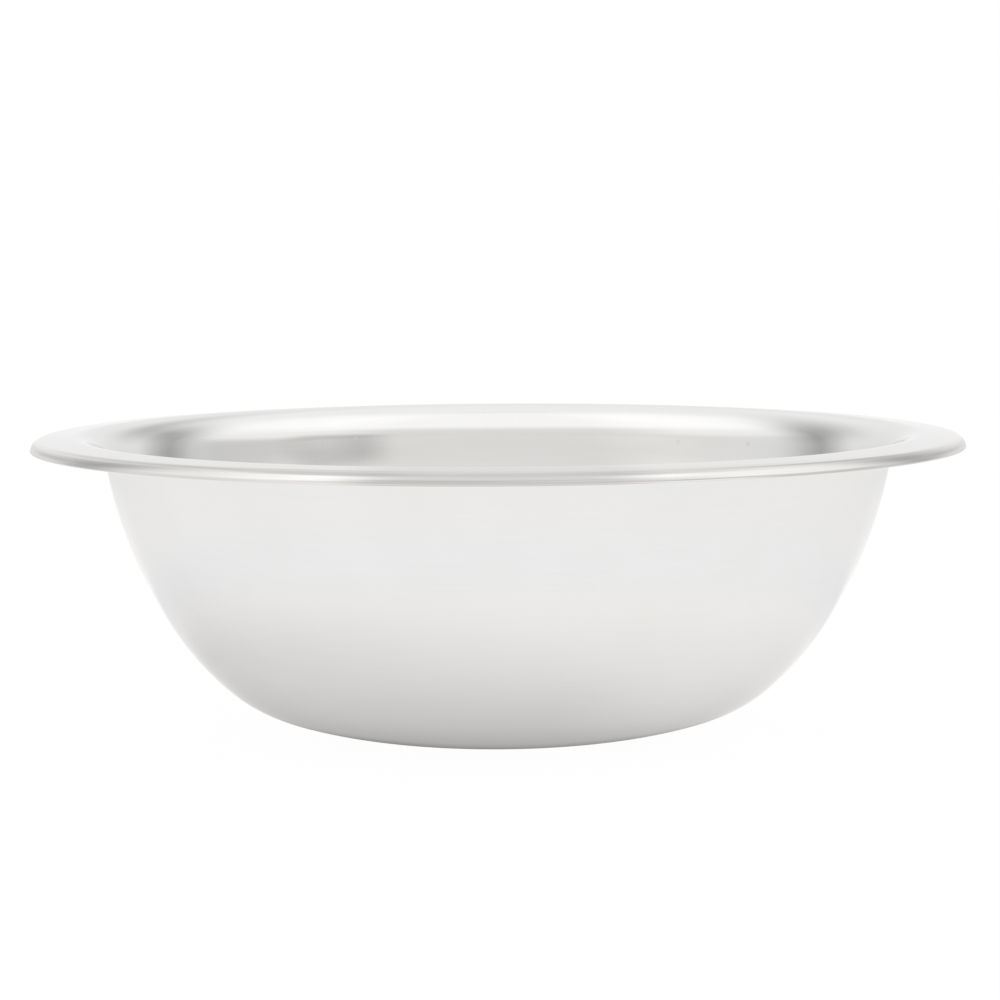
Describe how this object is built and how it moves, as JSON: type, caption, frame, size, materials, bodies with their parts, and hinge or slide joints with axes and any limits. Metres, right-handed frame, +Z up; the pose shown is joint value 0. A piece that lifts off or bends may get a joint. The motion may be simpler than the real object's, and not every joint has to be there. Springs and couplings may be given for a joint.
{
  "type": "mixing bowl",
  "caption": "Wide-brimmed round mixing bowl in one piece of satin stainless sheet, with a curved wall, a small flat base and a turned-down lip.",
  "frame": {"origin": "middle of the flat face the bowl rests on", "axes": "+Z up through the mouth, along the axis of revolution; X and Y are interchangeable"},
  "size_m": [0.1588, 0.1588, 0.0508],
  "materials": {
    "satin_steel": "satin stainless steel, softly reflecting, with fine lines around the axis"
  },
  "bodies": {
    "root": {"bowl": "satin_steel"}
  },
  "joints": []
}
